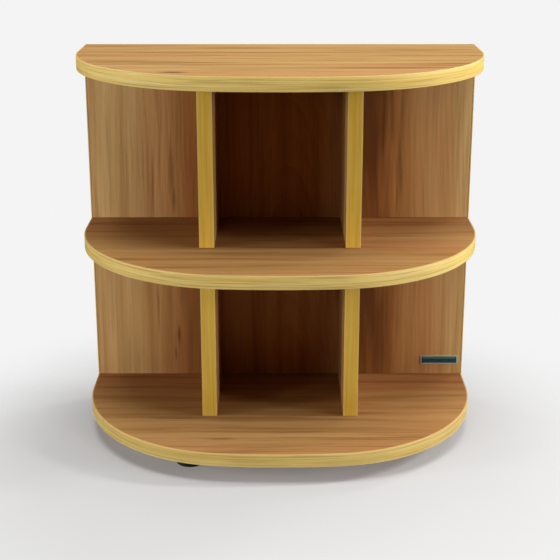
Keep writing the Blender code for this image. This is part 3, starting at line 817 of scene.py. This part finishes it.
# --- Painted shade and painted light: where they change the colour, as distances from the heart, and the two tints ---
# The back panels: painted shade across their middle, painted light at their outer ends.
PANEL_TURN = (0.130, 0.250)
PANEL_ENDS = (PANEL_MIDDLE_SHADE_TINT, PANEL_END_LIGHT_TINT)
# The middle and bottom shelves, whose heart is their rear edge: painted shade towards the rear.
SHELF_TURN = (0.030, 0.140)
SHELF_ENDS = (SHELF_REAR_SHADE_TINT, FRONT_TINT)

# --- Knots, dark streaks and broad patches of painted shade beside the dividers, each as (place along the grain, place across it, half length, half width, strength) ---
TOP_KNOTS = ((-0.1265, -0.1040, 0.024, 0.0065, 0.90), (0.150, 0.060, 0.030, 0.0040, 0.25))
MIDDLE_KNOTS = ((0.060, -0.060, 0.040, 0.0030, 0.25),)
BOTTOM_KNOTS = ((-0.076, -0.094, 0.028, 0.0050, 0.40), (0.120, -0.080, 0.050, 0.0030, 0.22))
UPPER_PANEL_KNOTS_AND_SHADES = (
    (0.350, -0.1527, 0.060, 0.0060, 0.42),
    (0.310, -0.1500, 0.030, 0.0045, 0.50),
    (0.330, -0.1790, 0.075, 0.0030, 0.45),
    (0.320, 0.1650, 0.045, 0.0030, 0.30),
    # Broad patches of painted shade beside the dividers, the whole height of the panel.
    (0.400, 0.1200, 0.260, 0.0580, 0.88),
    (0.400, -0.1150, 0.260, 0.0450, 0.25),
)
LOWER_PANEL_KNOTS_AND_SHADES = (
    (0.105, -0.1470, 0.026, 0.0036, 0.70),
    (0.075, -0.1520, 0.018, 0.0028, 0.55),
    (0.150, -0.1760, 0.060, 0.0028, 0.40),
    (0.140, 0.1500, 0.060, 0.0028, 0.30),
    # Broad patches of painted shade beside the dividers, the whole height of the panel.
    (0.160, 0.1200, 0.260, 0.0580, 0.88),
    (0.160, -0.1150, 0.260, 0.0500, 0.45),
)

# --- How dark the lines between the plies of a band are, and how brown its trimmed faces ---
SHELF_BAND_LINES = 0.40
SHELF_BAND_TRIM = 0.85
PANEL_BAND_LINES = 0.30
DIVIDER_BAND_LINES = 0.12


def dress_shelves():
    """The three shelf boards, with the grain from side to side; the middle and bottom ones with
    painted shade towards the rear.
    """
    top_veneer = veneer(
        "veneer_top", grain="X", face="Y", seed=11.0, heart=TOP_HEART, slope=TOP_SLOPE,
        tint=TOP_TINT, streaks=SHELF_STREAKS, knots_and_shades=TOP_KNOTS,
    )
    add_board("top_board", top_veneer)
    for level, seed, slope, knots_and_shades in (
        ("middle", 22.0, MIDDLE_SLOPE, MIDDLE_KNOTS),
        ("bottom", 33.0, BOTTOM_SLOPE, BOTTOM_KNOTS),
    ):
        shelf_veneer = veneer(
            "veneer_" + level, grain="X", face="Y", seed=seed, heart=LOWER_SHELF_HEART, slope=slope,
            tint=SHELF_PAINTED_SHADE_TINT, streaks=SHELF_STREAKS, knots_and_shades=knots_and_shades, turn=SHELF_TURN, ends=SHELF_ENDS,
        )
        add_board(level + "_board", shelf_veneer)


def dress_back_panels():
    """The two back panels, with upright grain, painted shade about the heart and painted light at
    their outer ends.
    """
    for tier, seed, tint, knots_and_shades in (
        ("upper", 44.0, UPPER_PANEL_PAINTED_LIGHT_TINT, UPPER_PANEL_KNOTS_AND_SHADES),
        ("lower", 55.0, LOWER_PANEL_TINT, LOWER_PANEL_KNOTS_AND_SHADES),
    ):
        sheet = veneer(
            f"veneer_{tier}_panel", grain="Z", face="X", seed=seed, heart=PANEL_HEART,
            slope=PANEL_SLOPE, tint=tint, streaks=PANEL_STREAKS, knots_and_shades=knots_and_shades,
            turn=PANEL_TURN, ends=PANEL_ENDS,
        )
        dress(tier + "_back_panel", sheet)


def dress_dividers():
    """The four dividers, each with its own sheet of upright grain."""
    for name, seed in (
        ("upper_left_divider", 66.0),
        ("upper_right_divider", 69.0),
        ("lower_left_divider", 73.0),
        ("lower_right_divider", 76.0),
    ):
        sheet = veneer(
            "veneer_" + name, grain="Z", face="Y", seed=seed, heart=DIVIDER_HEART,
            slope=DIVIDER_SLOPE, tint=DIVIDER_TINT, streaks=PANEL_STREAKS,
        )
        dress(name, sheet)


def middle_and_half(low, high):
    """The middle of a range, and half its width."""
    return (low + high) / 2, (high - low) / 2


def dress_bands():
    """Bands of the shelves, of the back panels' ends and of the dividers' front edges."""
    # Each shelf's band has its own level: painted shade on the bottom band, painted light on the
    # top one.
    for index, (board, level) in enumerate(zip(SHELVES, SHELF_BAND_PAINTED_LEVELS)):
        low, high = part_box(board + "_edge_band")
        middle, half = middle_and_half(low.z, high.z)
        material = edge_band(
            "band_" + board, layered="Z", seed=5.0 + index, middle=middle, half=half,
            tones=SHELF_BAND_TONES, lines=SHELF_BAND_LINES, trim=SHELF_BAND_TRIM, level=level,
        )
        add_round_band(board + "_edge_band", material)
        dress(board + "_rear_band", material)
    low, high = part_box("upper_right_divider_front_band")
    middle, half = middle_and_half(low.x, high.x)
    divider_bands = {}
    for tier, seed in (("upper", 15.0), ("lower", 19.0)):
        divider_bands[tier] = edge_band(
            "band_dividers_" + tier, layered="X", seed=seed, middle=middle, half=half,
            tones=DIVIDER_BAND_TONES, lines=DIVIDER_BAND_LINES,
            level=DIVIDER_BAND_PAINTED_LEVELS[tier], folded=True,
        )
    low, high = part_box("upper_back_panel_left_band")
    middle, half = middle_and_half(low.y, high.y)
    panel_band = edge_band(
        "band_panels", layered="Y", seed=25.0, middle=middle, half=half,
        tones=SHELF_BAND_TONES, lines=PANEL_BAND_LINES,
    )
    for name in NODES:
        if name.endswith("divider_front_band"):
            dress(name, divider_bands[name.split("_")[0]])
        elif "back_panel_" in name:
            dress(name, panel_band)


def dress_hardware():
    """Dowels, bearing, screws, base board and feet."""
    materials = {
        "dowel": beech(),
        "paint": black_paint(),
        "rubber": black_rubber(),
        "zinc": metal("zinc_steel", ROLLED_MARK_WAVES, 101.0, 0.28, 0.42),
        "bright": metal("bright_steel", POLISHED_MARK_WAVES, 111.0, 0.14, 0.26),
        "screw": metal("zinc_screw", SCREW_MARK_WAVES, 121.0, 0.24, 0.38),
    }
    for name in NODES:
        if name.endswith("_dowel"):
            finish = "dowel"
        elif "screw" in name:
            finish = "screw"
        elif name.startswith("foot"):
            finish = "rubber"
        elif name == "base_board":
            finish = "paint"
        elif name == "bearing_ball_ring":
            finish = "bright"
        elif name.startswith("bearing"):
            finish = "zinc"
        else:
            continue
        dress(name, materials[finish])
        smooth(name)


# ------------------------------------------------------------------------------------------------
# Floor, world, lights and camera
# ------------------------------------------------------------------------------------------------

# --- The floor, and the distances from its centre over which it fades into the backdrop ---
FLOOR_RADIUS = 6.0
FLOOR_STEPS = 72
FLOOR_FADE = (0.28, 0.62)
FLOOR_FADE_CENTRE = (0.0, -0.10, 0.0)
FLOOR_TONE = 0.50
FLOOR_MOTTLE = 0.015
FLOOR_MOTTLE_WAVES = 3.0
FLOOR_GLOW = 0.13

# --- The world: how bright the backdrop looks, and how strongly it lights the rack ---
BACKDROP_TONE = 0.905
FILL_TONE = 0.015

# --- Lamps, as (name, azimuth, elevation, distance, (width, height), level) ---
LAMP_TARGET = Vector((0.0, -0.02, 0.27))
BOX_DISTANCE = 2.7
BOX_SIZE = (0.5, 0.6)
LAMPS = (
    ("top_light", 0.0, 88.0, 2.2, (1.6, 1.6), 0.78),
    ("front_top_light", 0.0, 68.0, 2.4, (1.4, 0.5), 0.26),
    ("key_light", 90.0, 25.0, BOX_DISTANCE, (0.25, 0.6), 0.60),
    ("right_box", 70.0, 9.0, BOX_DISTANCE, BOX_SIZE, 0.38),
    ("right_high_box", 50.0, 45.0, BOX_DISTANCE, BOX_SIZE, 0.06),
    ("left_box", -72.0, 9.0, BOX_DISTANCE, BOX_SIZE, 0.38),
    ("left_front_box", -50.0, 10.0, BOX_DISTANCE, BOX_SIZE, 0.155),
    ("rear_right_box", 125.0, 35.0, BOX_DISTANCE, BOX_SIZE, 0.16),
)

# --- The camera ---
CAMERA_PLACE = (0.0, -1.531, 0.753)
CAMERA_PITCH = math.radians(16.75)
CAMERA_LENS = 77.96
CAMERA_SHIFT = -0.08


def add_floor():
    """A pale floor round the object that fades into the backdrop."""
    data = bmesh.new()
    bmesh.ops.create_circle(data, cap_ends=True, segments=FLOOR_STEPS, radius=FLOOR_RADIUS)
    mesh = bpy.data.meshes.new("studio_floor")
    data.to_mesh(mesh)
    data.free()
    floor = bpy.data.objects.new("studio_floor", mesh)
    bpy.context.scene.collection.objects.link(floor)
    graph = Graph("studio_floor", roughness=0.9, specular=0.1)
    mottle = graph.even_noise(FLOOR_MOTTLE_WAVES, seed=131.0, detail=4.0)
    dark = FLOOR_TONE * (1 - FLOOR_MOTTLE)
    light = FLOOR_TONE * (1 + FLOOR_MOTTLE)
    tone = graph.remap(mottle, 0.2, 0.8, dark, light)
    graph.feed(graph.shader.inputs["Base Color"], graph.combine(tone, tone, tone))
    graph.shader.inputs["Emission Color"].default_value = WHITE
    graph.shader.inputs["Emission Strength"].default_value = FLOOR_GLOW
    spread = graph.node(
        "ShaderNodeVectorMath", graph.place, FLOOR_FADE_CENTRE, operation="DISTANCE"
    )
    fade_start, fade_end = FLOOR_FADE
    share = graph.remap(spread.outputs["Value"], fade_end, fade_start)
    graph.feed(graph.shader.inputs["Alpha"], share)
    mesh.materials.append(graph.material)


def add_world():
    """An even pale backdrop that gives only a weak fill light."""
    world = bpy.data.worlds.new("studio")
    world.use_nodes = True
    tree = world.node_tree
    seen = tree.nodes.new("ShaderNodeLightPath")
    background = tree.nodes["Background"]
    background.inputs["Color"].default_value = WHITE
    strength = tree.nodes.new("ShaderNodeMapRange")
    strength.inputs["To Min"].default_value = FILL_TONE
    strength.inputs["To Max"].default_value = BACKDROP_TONE
    tree.links.new(seen.outputs["Is Camera Ray"], strength.inputs["Value"])
    tree.links.new(strength.outputs[0], background.inputs["Strength"])
    bpy.context.scene.world = world


def add_soft_box(name, azimuth, elevation, distance, size, level):
    """A rectangular lamp that looks at the rack.

    Azimuth is in degrees from the front, positive to the right.  Level is how brightly it lights
    a white surface that faces it at the rack, where 1 is full white.
    """
    turn = math.radians(azimuth)
    lift = math.radians(elevation)
    away = Vector((
        math.sin(turn) * math.cos(lift),
        -math.cos(turn) * math.cos(lift),
        math.sin(lift),
    ))
    lamp = bpy.data.lights.new(name, "AREA")
    lamp.shape = "RECTANGLE"
    lamp.size, lamp.size_y = size
    lamp.energy = level * math.pi ** 2 * distance ** 2
    holder = bpy.data.objects.new(name, lamp)
    holder.location = LAMP_TARGET + away * distance
    holder.rotation_euler = away.to_track_quat("Z", "Y").to_euler()
    bpy.context.scene.collection.objects.link(holder)


def add_lights():
    """Soft studio light from above, the front, both sides and the right rear."""
    for lamp in LAMPS:
        add_soft_box(*lamp)


def add_camera():
    """The camera looks along +Y, a little down, at the front of the rack."""
    lens = bpy.data.cameras.new("camera")
    lens.lens = CAMERA_LENS
    lens.shift_y = CAMERA_SHIFT
    camera = bpy.data.objects.new("camera", lens)
    camera.location = CAMERA_PLACE
    camera.rotation_euler = (math.pi / 2 - CAMERA_PITCH, 0.0, 0.0)
    bpy.context.scene.collection.objects.link(camera)
    bpy.context.scene.camera = camera


bpy.context.scene.view_settings.view_transform = "Standard"
dress_shelves()
dress_back_panels()
dress_dividers()
dress_bands()
dress_hardware()
add_label({
    "field": label_field(),
    "rim": label_metal("label_rim", LABEL_SILVER, 141.0),
    "stripe": label_metal("label_stripe", LABEL_GREEN, 151.0),
})
add_floor()
add_world()
add_lights()
add_camera()
